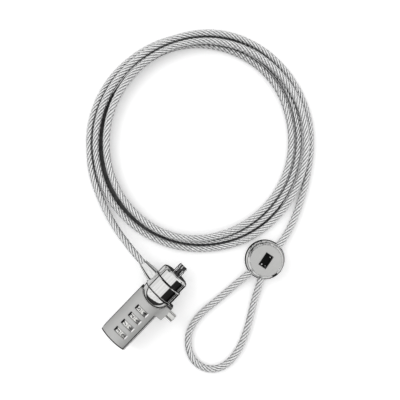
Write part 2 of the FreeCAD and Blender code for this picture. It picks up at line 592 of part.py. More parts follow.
lower = revolved("stop_lower_body", [
    ("0", "0"), ("stop_r - 1.9", "0"), ("stop_r - 1.1", "0.3"), ("stop_r - 0.4", "1.1"), ("stop_r - 0.1", "2.2"),
    ("stop_r", "split_z"), ("0", "split_z")], "V_Axis")
place(lower, "stop_x", "stop_y", "0")
upper = revolved("stop_upper_body", [
    ("0", "split_z"), ("stop_r", "split_z"), ("stop_r", "5.0"), ("stop_r - 0.15", "6.4"), ("stop_r - 0.55", "7.8"),
    ("stop_r - 1.2", "9.2"), ("stop_r - 1.9", "10.3"), ("stop_r - 2.3", "10.9"), ("stop_r - 2.5", "stop_h"),
    ("face_r + 0.05", "stop_h"), ("face_r + 0.05", "stop_h - face_t"), ("0", "stop_h - face_t")], "V_Axis")
place(upper, "stop_x", "stop_y", "0")
RIVETS = [(8.6 * math.cos(math.radians(a)), 8.6 * math.sin(math.radians(a))) for a in (45, 135, 285)]


def rivet(tag, r, z0, z1):
    out = []
    for k, (x, y) in enumerate(RIVETS):
        out.append(cyl("%s_%d" % (tag, k), r, "%s - %s" % (z1, z0), "stop_x + %.4f" % x if x >= 0 else "stop_x - %.4f" % -x,
                       "stop_y + %.4f" % y if y >= 0 else "stop_y - %.4f" % -y, z0, "Z"))
    return out


lower_cut = cut("stop_lower_cut", lower, [channel, end_way, ferrule_way] + rivet("rivet_low", "0.92", "-1", "6") + rivet("rivet_sink", "1.55", "-1", "0.7"))
node_e(lower_cut, "stop_lower_shell", lock=False)
tee_room = cyl("tee_room", "4.9", "2.7", "stop_x", "stop_y", "6.2", "Z")


def slot_block(name, length, width, z0, z1):
    b = block(name, "-(%s) / 2" % length, "(%s) / 2" % length, "-(%s) / 2" % width, "(%s) / 2" % width, z0, z1)
    holder = fuse(name + "_turned", [b, block(name + "_core", "-1", "1", "-1", "1", z0, z1)])
    holder.Placement = FreeCAD.Placement(V(D["stop_x"], D["stop_y"], 0), FreeCAD.Rotation(V(0, 0, 1), D["slot_turn"]))
    return holder


insert_way = cyl("insert_way", "6.4", "3", "stop_x", "stop_y", "8.7", "Z")
upper_cut = cut("stop_upper_cut", upper, [channel, end_way, ferrule_way, tee_room, insert_way] + rivet("rivet_up", "0.92", "0", "7.7"))
node_e(upper_cut, "stop_upper_shell", lock=False)
insert_disc = cyl("insert_disc", "6.35", "stop_h - face_t - 8.9", "stop_x", "stop_y", "8.9", "Z")
insert_foot = cyl("insert_foot", "6.35", "0.2", "stop_x", "stop_y", "8.7", "Z")
insert = cut("slot_insert_cut", fuse("slot_insert_solid", [insert_disc, insert_foot]), [slot_block("insert_slot", "8.7", "5.0", "8", "12")])
node_e(insert, "stop_slot_insert", lock=False)
face = cyl("face_disc", "face_r", "face_t", "stop_x", "stop_y", "stop_h - face_t", "Z")
face_cut = cut("stop_face_cut", face, [slot_block("face_slot", "slot_len", "slot_wid", "8", "12")])
node_e(face_cut, "stop_face_plate", lock=False)
rivet_set = fuse("stop_screws_set", rivet("rivet_shank", "0.9", "0.1", "7.5") + rivet("rivet_head", "1.5", "0.1", "0.65"))
node_e(rivet_set, "stop_screws", lock=False)
ferrule_out = doc.addObject("Part::Cylinder", "ferrule_out")
ferrule_out.Radius = 2.7
ferrule_out.Height = 3.4
ferrule_in = doc.addObject("Part::Cylinder", "ferrule_in")
bind(ferrule_in, "Radius", "cable_r + 0.01")
ferrule_in.Height = 6
ferrule_in.Placement.Base = V(0, 0, -1)
ferrule = cut("loop_ferrule_cut", ferrule_out, [ferrule_in])
ferrule.Placement = FreeCAD.Placement(ferrule_at, limb_rot)
node(ferrule, "loop_ferrule", lock=False)

doc.recompute()

bad = ["%s (%s)" % (o.Name, o.State) for o in doc.Objects if "Invalid" in o.State or "Error" in o.State]
if bad:
    raise SystemExit("failed objects: " + ", ".join(bad))
box = None
for label, obj in NODES:
    shape = obj.Shape
    if shape.isNull() or not shape.isValid() or not shape.Solids:
        raise SystemExit("bad shape: " + label)
    if obj.Label != label:
        raise SystemExit("label taken: %s became %s" % (label, obj.Label))
    if label in LOCK:
        b = shape.BoundBox
        if box is None:
            box = FreeCAD.BoundBox(b.XMin, b.YMin, b.ZMin, b.XMax, b.YMax, b.ZMax)
        else:
            box.add(b)
    print("%-18s solids %d volume %9.2f  x %7.2f %7.2f  y %7.2f %7.2f  z %6.2f %6.2f" % (
        label, len(shape.Solids), shape.Volume, shape.BoundBox.XMin, shape.BoundBox.XMax,
        shape.BoundBox.YMin, shape.BoundBox.YMax, shape.BoundBox.ZMin, shape.BoundBox.ZMax))
print("lock head box", box)
print("middle", (box.XMin + box.XMax) / 2, (box.YMin + box.YMax) / 2)

os.makedirs("parts", exist_ok=True)
for label, obj in NODES:
    obj.Shape.exportStep("parts/%s.step" % label)
print(len(NODES), "nodes")
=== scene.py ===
import math

import bmesh
import bpy
import numpy as np
from mathutils import Matrix, Vector


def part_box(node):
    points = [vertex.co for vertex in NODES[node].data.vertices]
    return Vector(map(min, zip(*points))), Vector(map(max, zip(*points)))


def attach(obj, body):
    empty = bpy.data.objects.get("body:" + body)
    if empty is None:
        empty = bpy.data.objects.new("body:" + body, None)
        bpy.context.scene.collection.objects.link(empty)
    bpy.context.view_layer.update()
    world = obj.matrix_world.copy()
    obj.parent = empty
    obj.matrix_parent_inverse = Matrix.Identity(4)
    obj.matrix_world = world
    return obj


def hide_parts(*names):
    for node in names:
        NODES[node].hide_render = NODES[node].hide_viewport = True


# Combination cable lock. The CAD frame gives every size and place; this script
# adds the wire rope, the dial figures, the finishes, the studio and the camera.
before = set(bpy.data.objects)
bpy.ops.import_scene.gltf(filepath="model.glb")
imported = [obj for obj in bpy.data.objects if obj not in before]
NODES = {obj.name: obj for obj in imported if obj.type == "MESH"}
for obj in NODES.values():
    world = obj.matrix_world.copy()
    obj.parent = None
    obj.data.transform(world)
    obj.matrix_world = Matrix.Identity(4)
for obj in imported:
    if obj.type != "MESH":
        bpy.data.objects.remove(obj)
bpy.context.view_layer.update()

RING = Vector((13.1, -0.958, 10.5))  # collar centre in the row frame, mm


def mm(x, y, z):
    """Millimetres from the collar's centre (z from the table) to row-frame metres."""
    return ((x + RING.x) / 1000, (y + RING.y) / 1000, z / 1000)


# ---------------------------------------------------------------- camera ----
RIGHT = Vector((0.694, -0.720, 0.0)).normalized()
UP = Vector((0.720, 0.694, 0.0)).normalized()
cam_data = bpy.data.cameras.new("camera")
cam_data.sensor_width = 36.0
cam_data.lens = 49.85
cam_data.clip_start = 0.01
camera = bpy.data.objects.new("camera", cam_data)
bpy.context.scene.collection.objects.link(camera)
rot = Matrix((RIGHT, UP, Vector((0, 0, 1)))).transposed()
camera.matrix_world = Matrix.Translation((0.06876, 0.02074, 0.360)) @ rot.to_4x4()
bpy.context.scene.camera = camera

# ------------------------------------------------------------- materials ----


class Mat:
    """A small node-tree builder around one Principled shader."""

    def __init__(self, name):
        self.m = bpy.data.materials.new(name)
        self.m.use_nodes = True
        self.t = self.m.node_tree
        self.b = [n for n in self.t.nodes if n.type == "BSDF_PRINCIPLED"][0]
        self.tc = self.t.nodes.new("ShaderNodeTexCoord")

    def set(self, **kw):
        for k, v in kw.items():
            self.b.inputs[k.replace("_", " ")].default_value = v
        return self

    def mapped(self, scale):
        n = self.t.nodes.new("ShaderNodeMapping")
        n.inputs["Scale"].default_value = scale if hasattr(scale, "__len__") else (scale,) * 3
        self.t.links.new(self.tc.outputs["Object"], n.inputs["Vector"])
        return n.outputs["Vector"]

    def noise(self, scale, detail=3.0, rough=0.5, stretch=(1, 1, 1)):
        n = self.t.nodes.new("ShaderNodeTexNoise")
        n.inputs["Scale"].default_value = scale
        n.inputs["Detail"].default_value = detail
        n.inputs["Roughness"].default_value = rough
        self.t.links.new(self.mapped(stretch), n.inputs["Vector"])
        return n.outputs["Fac"]

    def ramp(self, fac, stops):
        n = self.t.nodes.new("ShaderNodeValToRGB")
        e = n.color_ramp.elements
        while len(e) < len(stops):
            e.new(0.5)
        for k, (p, c) in enumerate(stops):
            e[k].position = p
            e[k].color = (*c, 1) if hasattr(c, "__len__") else (c, c, c, 1)
        self.t.links.new(fac, n.inputs["Fac"])
        return n.outputs["Color"]

    def span(self, fac, lo, hi):
        n = self.t.nodes.new("ShaderNodeMapRange")
        n.inputs["From Min"].default_value = 0.3
        n.inputs["From Max"].default_value = 0.7
        n.inputs["To Min"].default_value = lo
        n.inputs["To Max"].default_value = hi
        self.t.links.new(fac, n.inputs["Value"])
        return n.outputs["Result"]

    def link(self, out, socket):
        self.t.links.new(out, self.b.inputs[socket])
        return self

    def bevel(self, radius):
        n = self.t.nodes.new("ShaderNodeBevel")
        n.samples = 6
        n.inputs["Radius"].default_value = radius
        self.edge = n.outputs["Normal"]
        self.t.links.new(self.edge, self.b.inputs["Normal"])
        return self

    def bump(self, height, strength, distance):
        n = self.t.nodes.new("ShaderNodeBump")
        if getattr(self, "edge", None):
            self.t.links.new(self.edge, n.inputs["Normal"])
        n.inputs["Strength"].default_value = strength
        n.inputs["Distance"].default_value = distance
        self.t.links.new(height, n.inputs["Height"])
        self.t.links.new(n.outputs["Normal"], self.b.inputs["Normal"])
        return self


def metal(name, dark, light, rough, grain, bump=0.0, stretch=(1, 1, 1), tint=(1, 1, 1), cloud=160.0, edge=0.00022):
    """Metal whose tone, gloss and fine surface all vary a little."""
    k = Mat(name)
    k.set(Metallic=1.0)
    patches = k.noise(cloud, 4.0, 0.55)
    k.link(k.ramp(patches, [(0.25, [dark * c for c in tint]), (0.75, [light * c for c in tint])]), "Base Color")
    fine = k.noise(grain, 2.0, 0.6, stretch)
    k.link(k.span(fine, rough[0], rough[1]), "Roughness")
    if edge:
        k.bevel(edge)
    if bump:
        k.bump(fine, bump, 0.00002)
    return k.m


M = {}
M["satin_nickel"] = metal("satin_nickel", 0.58, 0.63, (0.52, 0.60), 2600.0, 0.35, (0.12, 1, 1), (1.0, 1.0, 0.985), 60.0)
M["bright_chrome"] = metal("bright_chrome", 0.72, 0.80, (0.035, 0.075), 900.0, 0.02, (1, 1, 1), (1.0, 1.0, 0.99), 90.0)
M["button_metal"] = metal("button_metal", 0.62, 0.70, (0.20, 0.30), 2200.0, 0.25, (1, 1, 1), (1.0, 1.0, 0.97))
M["tee_metal"] = metal("tee_metal", 0.035, 0.09, (0.10, 0.22), 1500.0, 0.35, (1, 1, 0.3))
M["dial_metal"] = metal("dial_metal", 0.70, 0.80, (0.14, 0.26), 1500.0, 0.20, (0.2, 1, 1), (1.0, 0.995, 0.97))
M["inner_steel"] = metal("inner_steel", 0.50, 0.62, (0.24, 0.36), 1800.0, 0.3)
M["inner_brass"] = metal("inner_brass", 0.60, 0.72, (0.26, 0.38), 1500.0, 0.3, (1, 1, 1), (1.0, 0.78, 0.42))
M["spring_steel"] = metal("spring_steel", 0.42, 0.55, (0.18, 0.30), 1500.0, 0.2)
M["slot_dark"] = metal("slot_dark", 0.05, 0.10, (0.30, 0.45), 1400.0, 0.3)
k = Mat("rope_wire")
k.set(Metallic=1.0)
# the wires' colour carries painted shade: the ramp darkens the grooves, the undersides and the places where passes of
# the rope lie close
at = k.t.nodes.new("ShaderNodeAttribute")
at.attribute_name = "painted_shade"
tone = k.ramp(at.outputs["Fac"], [(0.0, 0.02), (0.22, 0.07), (0.42, 0.34), (0.64, 0.86), (0.88, 1.0)])
wear = k.ramp(k.noise(420.0, 4.0, 0.55), [(0.25, 0.84), (0.75, 1.0)])
mul = k.t.nodes.new("ShaderNodeMix")
mul.data_type = "RGBA"
mul.blend_type = "MULTIPLY"
mul.inputs[0].default_value = 1.0
k.t.links.new(tone, mul.inputs[6])
k.t.links.new(wear, mul.inputs[7])
k.link(mul.outputs[2], "Base Color")
fine = k.noise(1200.0, 2.0)
k.link(k.span(fine, 0.22, 0.36), "Roughness")
k.bump(fine, 0.08, 0.00002)
M["rope_wire"] = k.m

k = Mat("figure_paint")
k.set(Metallic=0.0)
k.link(k.ramp(k.noise(900.0, 3.0), [(0.3, 0.012), (0.7, 0.03)]), "Base Color")
k.link(k.span(k.noise(1600.0), 0.30, 0.42), "Roughness")
k.b.inputs["Specular IOR Level"].default_value = 0.5
M["figure_paint"] = k.m

k = Mat("clear_sheath")
k.set(Metallic=0.0, Alpha=0.08, IOR=1.5)
k.link(k.ramp(k.noise(260.0, 3.0), [(0.3, (0.86, 0.87, 0.88)), (0.7, (0.93, 0.94, 0.95))]), "Base Color")
k.link(k.span(k.noise(900.0), 0.10, 0.20), "Roughness")
M["clear_sheath"] = k.m

for name, o in NODES.items():
    for s in o.material_slots:
        if s.material and s.material.name.split(".")[0] in M:
            s.material = M[s.material.name.split(".")[0]]

# --------------------------------------------------------------- mesh kit ---


def new_mesh(name, verts, faces, mat, smooth=True):
    me = bpy.data.meshes.new(name)
    v = np.asarray(verts, np.float32)
    me.vertices.add(len(v))
    me.vertices.foreach_set("co", v.ravel())
    f = np.asarray(faces, np.int32)
    me.loops.add(f.size)
    me.loops.foreach_set("vertex_index", f.ravel())
    me.polygons.add(len(f))
    me.polygons.foreach_set("loop_start", np.arange(0, f.size, f.shape[1], dtype=np.int32))
    me.update(calc_edges=True)
    me.validate()
    me.polygons.foreach_set("use_smooth", np.full(len(me.polygons), smooth))
    me.materials.append(mat)
    o = bpy.data.objects.new(name, me)
    bpy.context.scene.collection.objects.link(o)
    return o


def sweep(centre, a, b, section):
    """Rings of section (n, 2) stood at centre along unit vectors a and b, with closed ends."""
    rings = centre[:, None] + section[..., 0:1] * a[:, None] + section[..., 1:2] * b[:, None]
    m, n = rings.shape[:2]
    i = np.arange(m - 1)[:, None] * n
    j = np.arange(n)[None]
    jn = (j + 1) % n
    quads = np.stack([i + j, i + jn, i + n + jn, i + n + j], -1).reshape(-1, 4)
    verts = rings.reshape(-1, 3)
    caps = [rings[0].mean(0), rings[-1].mean(0)]
    c0, c1 = len(verts), len(verts) + 1
    jj = np.arange(n)
    # end caps as quads with a doubled corner would be degenerate, so the caps are fans of quads over two steps
    even = jj[::2]
    cap0 = np.stack([np.full(len(even), c0), (even + 2) % n, (even + 1) % n, even], -1)
    base = (m - 1) * n
    cap1 = np.stack([np.full(len(even), c1), base + even, base + (even + 1) % n, base + (even + 2) % n], -1)
    return np.concatenate([verts, caps]), np.concatenate([quads, cap0, cap1])


def along(points, step):
    """Points a step apart on a finely divided line."""
    d = np.linalg.norm(np.diff(points, axis=0), axis=1)
    s = np.concatenate([[0], np.cumsum(d)])
    n = int(s[-1] / step)
    t = np.linspace(0, s[-1], n + 1)
    return t, np.stack([np.interp(t, s, points[:, k]) for k in range(3)], 1), s[-1]


def frames(points):
    """Tangent and two steady normals at each point, carried along without twist."""
    t = np.gradient(points, axis=0)
    t /= np.linalg.norm(t, axis=1)[:, None]
    n = np.zeros_like(t)
    v = np.array([0.0, 0.0, 1.0])
    for i in range(len(t)):
        v = v - t[i] * v.dot(t[i])
        v /= np.linalg.norm(v)
        n[i] = v
    return t, n, np.cross(t, n)


# ------------------------------------------------------------------ rope ----
TAIL = [
    (1.11, 12.31, 10.5), (2.15, 20.8, 10.5), (3.0, 29.6, 10.3), (3.95, 38.0, 8.8), (5.1, 46.2, 6.6),
    (7.0, 54.6, 4.4), (9.5, 62.5, 2.95), (12.5, 70.0, 2.35), (16.2, 77.9, 2.3), (20.8, 85.4, 2.3), (26.0, 91.8, 2.3)]
COIL = [
    (36.59, 102.73, 2.3), (49.33, 110.84, 2.3), (63.44, 115.94, 2.3), (78.21, 117.78, 2.3), (92.88, 116.54, 2.3),
    (106.96, 112.65, 2.3), (119.81, 105.89, 2.3), (130.79, 96.54, 2.3), (139.54, 85.23, 2.3), (145.62, 72.43, 2.3),
    (148.88, 58.77, 2.3), (149.14, 44.86, 2.3), (146.36, 31.38, 2.3), (140.87, 18.96, 2.3), (133.26, 7.93, 2.3),
    (123.87, -1.47, 2.3), (112.85, -8.9, 2.3), (100.58, -14.04, 2.3), (87.46, -16.26, 2.3), (74.1, -16.22, 2.3),
    (61.03, -13.17, 2.3), (48.96, -7.26, 2.3), (38.37, 1.02, 2.3), (29.74, 11.33, 2.3), (23.87, 23.37, 2.3),
    (20.58, 36.27, 2.3), (20.18, 49.48, 2.3), (22.52, 62.39, 2.3), (27.36, 74.47, 2.3), (34.52, 85.24, 2.3),
    (43.55, 94.43, 2.3), (54.21, 101.64, 2.3), (66.07, 106.75, 2.3), (78.78, 109.51, 2.3), (91.91, 109.67, 2.3),
    (104.89, 106.99, 2.3), (116.88, 101.21, 2.3), (127.08, 92.71, 2.3), (135.17, 82.3, 2.3), (140.84, 70.5, 2.3),
    (144.01, 57.91, 2.3), (144.32, 45.03, 2.3), (141.74, 32.54, 2.3), (136.46, 21.13, 2.3), (129.5, 10.89, 2.3),
    (120.83, 2.15, 2.3), (110.61, -4.68, 2.3), (99.3, -9.54, 2.3), (87.15, -11.97, 2.47), (74.63, -11.89, 3.51),
    (62.31, -9.36, 4.55), (50.51, -4.62, 5.59), (39.81, 2.54, 6.63), (30.87, 11.99, 6.8), (24.44, 23.42, 6.8),
    (21.06, 36.09, 6.8), (20.7, 49.13, 6.8), (22.93, 61.87, 6.8), (27.71, 73.8, 6.8), (34.83, 84.4, 6.8),
    (43.73, 93.47, 6.8), (54.23, 100.63, 6.8), (65.92, 105.73, 6.8), (78.49, 108.32, 6.8), (91.45, 108.57, 6.8),
    (104.37, 106.18, 6.8), (116.6, 101, 6.8), (127.67, 93.35, 6.8), (136.82, 83.29, 6.8), (143.66, 71.43, 6.8),
    (147.87, 58.3, 6.8), (149.21, 44.5, 6.8), (147.65, 30.63, 6.8), (143.3, 17.28, 6.8), (136.03, 5.18, 6.8),
    (126.2, -4.98, 6.8), (114.54, -12.87, 6.07), (101.76, -18.69, 3.93), (87.82, -21.53, 2.3), (73.36, -21.42, 2.3),
    (59.26, -18.01, 2.3), (46.27, -11.55, 2.3), (34.89, -2.58, 2.3), (25.51, 8.48, 2.3), (18.57, 21.23, 2.3),
    (14.53, 35.21, 2.3), (13.52, 49.72, 2.3), (15.61, 64.11, 2.41), (21, 77.52, 2.85), (29.11, 89.34, 3.29),
    (39.32, 99.22, 3.89), (51.2, 106.82, 4.54), (64.34, 111.82, 5.19), (78.19, 113.95, 5.8), (92.17, 113.41, 6.37),
    (105.87, 110.28, 6.77), (119.04, 104.9, 6.8), (131.18, 96.98, 6.8), (141.54, 86.51, 6), (149.12, 73.76, 4.3),
    (153.61, 59.57, 2.7), (154.44, 44.67, 2.3), (152.15, 29.94, 2.3), (147.02, 15.97, 2.3), (139.25, 3.26, 2.3),
]
LOOP = [
    (127.8, -8.1, 2.3), (117.7, -15.4, 2.3), (106.9, -22.2, 2.3), (95.4, -28.0, 2.3), (85.0, -32.2, 2.5),
    (74.4, -34.9, 3.15), (62.0, -35.6, 3.4), (48.5, -34.6, 3.4), (36.6, -33.0, 2.85), (26.0, -32.2, 2.35),
    (15.5, -31.0, 2.3), (5.5, -29.8, 2.3), (-3.2, -30.1, 2.3), (-10.8, -32.5, 2.3), (-16.4, -36.6, 2.3),
    (-20.4, -42.2, 2.3), (-22.2, -49.0, 2.3), (-20.7, -56.0, 2.3), (-16.2, -61.5, 2.3), (-9.2, -64.5, 2.3),
    (0.8, -64.2, 2.3), (12.0, -60.6, 2.3), (23.4, -54.4, 2.3), (34.2, -47.9, 2.35), (43.2, -43.7, 2.9),
    (50.2, -39.6, 3.4)]


def spline_points(points):
    """The smooth line that a NURBS spline of these control points gives."""
    cu = bpy.data.curves.new("route", "CURVE")
    cu.dimensions = "3D"
    cu.resolution_u = 16
    sp = cu.splines.new("NURBS")
    sp.points.add(len(points) - 1)
    for p, q in zip(sp.points, points):
        p.co = (*mm(*q), 1.0)
    sp.order_u = 3
    sp.use_endpoint_u = True
    tmp = bpy.data.objects.new("route", cu)
    bpy.context.scene.collection.objects.link(tmp)
    bpy.context.view_layer.update()
    me = bpy.data.meshes.new_from_object(tmp)
    co = np.zeros(len(me.vertices) * 3)
    me.vertices.foreach_get("co", co)
    bpy.data.objects.remove(tmp)
    return co.reshape(-1, 3)


line = spline_points(TAIL + COIL + LOOP)
print("rope length", float(np.linalg.norm(np.diff(line, axis=0), axis=1).sum()))

ROPE_R, STRAND_AT = 0.00225, 0.00149  # sheath radius, strand centres' radius
LAY, WIRE_LAY = 0.0195, 0.0086

# sheath
_, pts, total = along(line, 0.0016)
t, n, b = frames(pts)
ang = np.arange(20) * 2 * math.pi / 20
ring = np.stack([np.cos(ang), np.sin(ang)], -1) * ROPE_R
sheath = new_mesh("cable_sheath", *sweep(pts, n, b, np.broadcast_to(ring, (len(pts), 20, 2))), M["clear_sheath"])

# six strands of seven wires each, laid right-handed, the wires left-handed
s, pts, total = along(line, 0.0008)
t, n, b = frames(pts)
lobe = []  # outline of a strand: six wires with their valleys half filled by the clear coat
for q in range(6):
    for d, r in ((-30, 0.000590), (-15, 0.000675), (0, 0.000710), (15, 0.000675)):
        lobe.append((math.radians(60 * q + d), r))
lobe = np.array(lobe)
apart = np.linalg.norm(pts[:, None] - pts[None], axis=2)
apart[np.abs(s[:, None] - s[None]) < 0.030] = 9.0
nearby = []  # for each point, the nearest point on each of three other passes
for q in range(3):
    j = apart.argmin(1)
    nearby.append(j)
    apart[np.abs(s[j][:, None] - s[None]) < 0.030] = 9.0
strands = []
for q in range(6):
    th = 2 * math.pi * (s / LAY + q / 6)
    er = np.cos(th)[:, None] * n + np.sin(th)[:, None] * b
    cen = pts + er * STRAND_AT
    tk = np.gradient(cen, axis=0)
    tk /= np.linalg.norm(tk, axis=1)[:, None]
    er = er - tk * (er * tk).sum(1)[:, None]
    er /= np.linalg.norm(er, axis=1)[:, None]
    e2 = np.cross(tk, er)
    ph = lobe[None, :, 0] - (2 * math.pi * s / WIRE_LAY)[:, None] + q * 0.7
    sec = np.stack([np.cos(ph) * lobe[None, :, 1], np.sin(ph) * lobe[None, :, 1]], -1)
    o = new_mesh("cable_strand_%d" % (q + 1), *sweep(cen, er, e2, sec), M["rope_wire"])
    # painted shade on the strands, from how far each point stands out: 0 in the grooves between strands, 1 on their
    # crowns, less towards the table and less where another pass of the rope lies close by
    co = cen[:, None] + sec[..., 0:1] * er[:, None] + sec[..., 1:2] * e2[:, None]
    out = co - pts[:, None]
    far = np.clip((np.linalg.norm(out, axis=2) - 0.00142) / (0.00220 - 0.00142), 0, 1)
    high = np.clip(out[..., 2] / 0.0020, -1, 1)
    painted_shade = far * (0.84 + 0.16 * np.clip(high / 0.60, -0.8, 1)) * np.clip((high + 0.30) / 0.45, 0.30, 1)
    for j in nearby:
        off = co - pts[j][:, None]
        run = (off * t[j][:, None]).sum(2)[..., None]
        off = off - t[j][:, None] * run
        gap = np.linalg.norm(off, axis=2) - 0.00222 + (np.abs(run[..., 0]) > 0.003)
        painted_shade = painted_shade * np.clip(0.02 + gap / 0.0017, 0.02, 1)
    painted_shade = np.concatenate([painted_shade.ravel(), [0.0, 0.0]]).astype(np.float32)
    o.data.attributes.new("painted_shade", "FLOAT", "POINT").data.foreach_set("value", painted_shade)
    strands.append(o)
_, pts, _ = along(line, 0.0032)
t, n, b = frames(pts)
# the core has no painted shade values, so the wire colour shows it at its darkest painted shade
core_ring = np.stack([np.cos(np.arange(8) * math.pi / 4), np.sin(np.arange(8) * math.pi / 4)], -1) * 0.00080
core = new_mesh("cable_core", *sweep(pts, n, b, np.broadcast_to(core_ring, (len(pts), 8, 2))), M["rope_wire"])
for o in strands + [core, sheath]:
    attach(o, "cable_assembly")
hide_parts("cable_tail", "cable_coil", "cable_loop")

# ------------------------------------------------------------ dial figures --
DIAL_X = [-37.4 + 6.2 * i for i in range(4)]
TURN = [2, 6, 1, 4]  # the figure nearest the top on each dial


def figure_mesh(text):
    """One figure as a flat mesh, 1 unit tall, centred, cut into narrow strips so that it can be bent."""
    cu = bpy.data.curves.new("figure", "FONT")
    cu.body = text
    cu.size = 1.0
    cu.extrude = 0.5
    cu.offset = 0.022
    cu.resolution_u = 3
    tmp = bpy.data.objects.new("figure", cu)
    bpy.context.scene.collection.objects.link(tmp)
    bpy.context.view_layer.update()
    me = bpy.data.meshes.new_from_object(tmp)
    bpy.data.objects.remove(tmp)
    bm = bmesh.new()
    bm.from_mesh(me)
    bmesh.ops.remove_doubles(bm, verts=bm.verts, dist=1e-5)
    lo = [min(v.co[k] for v in bm.verts) for k in range(2)]
    hi = [max(v.co[k] for v in bm.verts) for k in range(2)]
    for v in bm.verts:
        v.co.x = (v.co.x - (lo[0] + hi[0]) / 2) / (hi[1] - lo[1])
        v.co.y = (v.co.y - (lo[1] + hi[1]) / 2) / (hi[1] - lo[1])
    for c in np.linspace(-0.5, 0.5, 12)[1:-1]:
        bmesh.ops.bisect_plane(bm, geom=bm.verts[:] + bm.edges[:] + bm.faces[:], plane_co=(0, c, 0), plane_no=(0, 1, 0))
    bmesh.ops.triangulate(bm, faces=bm.faces)
    v = np.array([x.co[:] for x in bm.verts])
    f = np.array([[q.index for q in x.verts] for x in bm.faces])
    bm.free()
    return v, f


FIG = [figure_mesh(str(k)) for k in range(10)]
FIG_H, FIG_W, DIAL_R = 3.0, 2.25, 7.7
for i in range(4):
    vs, fs, base = [], [], 0
    for k in range(10):
        v, f = FIG[k]
        wide = min(FIG_W / max(np.ptp(v[:, 0]), 1e-6), FIG_H * 0.92)
        if k == 1:
            wide = FIG_H * 0.95
        mid = math.radians(18 + 36 * (TURN[i] - k))
        angle = mid - v[:, 1] * FIG_H / DIAL_R  # upright from +Y round towards -Y
        r = DIAL_R + np.where(v[:, 2] > 0, 0.03, -0.06)
        x = RING.x + DIAL_X[i] + v[:, 0] * wide
        y = RING.y - np.sin(angle) * r
        z = RING.z + np.cos(angle) * r
        vs.append(np.stack([x, y, z], 1) / 1000)
        fs.append(f + base)
        base += len(v)
    figs = new_mesh("dial_%d_figures" % (i + 1), np.concatenate(vs), np.concatenate(fs), M["figure_paint"], smooth=False)
    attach(figs, "dial_set_%d" % (i + 1))

# ----------------------------------------------------------- window edges: painted shadow and painted highlights --
# near-black colour for painted shadow
k = Mat("frame_dark")
k.link(k.ramp(k.noise(900.0, 3.0), [(0.3, 0.004), (0.7, 0.010)]), "Base Color")
k.link(k.span(k.noise(1600.0), 0.55, 0.75), "Roughness")
k.b.inputs["Specular IOR Level"].default_value = 0.15
M["frame_dark"] = k.m
# bright metal for painted highlights and glints
M["frame_sill"] = metal("frame_sill", 0.88, 0.94, (0.12, 0.22), 1500.0, 0.05, edge=0)
ARCH_R, ARCH_Z = 13.3, 4.6  # underside of the face plate


def under(y):
    return ARCH_Z + math.sqrt(ARCH_R ** 2 - y ** 2)


def over(y):
    """Height just clear of the dials and their figures."""
    return RING.z + math.sqrt(7.7 ** 2 - y ** 2) + 0.08


def bars(name, boxes, mat):
    """Small bars given as eight corners each (bottom four, top four)."""
    v, f = [], []
    for c in boxes:
        n0 = len(v)
        v += [(x + RING.x, y + RING.y, z) for x, y, z in c]
        f += [[n0 + q for q in face] for face in ((3, 2, 1, 0), (4, 5, 6, 7), (0, 1, 5, 4), (1, 2, 6, 5), (2, 3, 7, 6), (3, 0, 4, 7))]
    o = new_mesh(name, np.array(v) / 1000, f, mat, smooth=False)
    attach(o, "lock_body")
    return o


def strip(name, runs, mat):
    """A bar of round-topped section: runs is a list of (point, across, up) with the section in mm."""
    sec = [(math.cos(q), math.sin(q)) for q in np.linspace(0, math.pi, 9)] + [(-0.6, -0.5), (0.0, -0.5), (0.6, -0.5)]
    v, f, n = [], [], len(sec)
    for p, across, up in runs:
        for u, w in sec:
            q = Vector(p) + Vector(across) * u + Vector(up) * w
            v.append((q.x + RING.x, q.y + RING.y, q.z))
    for m in range(len(runs) - 1):
        for q in range(n):
            f.append([m * n + q, m * n + (q + 1) % n, (m + 1) * n + (q + 1) % n, (m + 1) * n + q])
    for base, way in ((0, 1), ((len(runs) - 1) * n, -1)):
        for q in range(1, n - 2, 2):
            f.append([base, base + q, base + q + 1, base + q + 2][::way])
    o = new_mesh(name, np.array(v) / 1000, f, mat)
    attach(o, "lock_body")
    return o


# along the ledge beside the face plate, two dark lines of painted shadow with a rolled bright bead between them as a
# painted highlight, and a dark strip of painted shadow round the plate's tail edge
# darker metal for painted shadow lines on the ear and the stop
M["painted_shadow_dim"] = metal("painted_shadow_dim", 0.05, 0.12, (0.25, 0.38), 1500.0, 0.2, edge=0)
for tag, y, wide, mat, slot, arch in (("shade_in", -7.98, 0.32, "frame_dark", "slot_dark", 13.8),
                                      ("highlight_middle", -8.62, 0.22, "frame_sill", "bright_chrome", ARCH_R),
                                      ("shade_out", -8.94, 0.14, "frame_dark", "slot_dark", ARCH_R)):
    slope = math.sqrt(arch ** 2 - y ** 2)
    lean = 0 if tag == "highlight_middle" else -wide * y / slope
    lift = 0.10 if tag == "highlight_middle" else -0.03
    strip("ledge_" + tag, [((x, y, ARCH_Z + slope + lift), (0, -wide, -lean), (0, 0.02, 0.13)) for x in np.linspace(-44.6, -15.9, 40)],
          M[mat])
arc = []
for q in np.linspace(math.radians(-36.0), math.radians(47.6), 40):
    up = Vector((0, math.sin(q), math.cos(q)))
    arc.append((Vector((-44.42, 0, 4.6)) + up * 13.74, (0.36, 0, 0), up * 0.12))
strip("tail_painted_shadow", arc, M["frame_dark"])
# a dark strip of painted shadow down the ear's end face beside the button
edge_run = [((-6.0, y, 15.02 - (-7.3 - y) * 0.262), (0.55, 0, 0), (0, 0, 0.10)) for y in np.linspace(-7.3, -12.5, 12)]
edge_run += [((-6.0, -13.0, 13.2), (0.55, 0, 0), (0, -0.08, 0.06)), ((-6.0, -13.1, 12.4), (0.55, 0, 0), (0, -0.10, 0.0))]
strip("ear_painted_shadow", edge_run, M["painted_shadow_dim"])


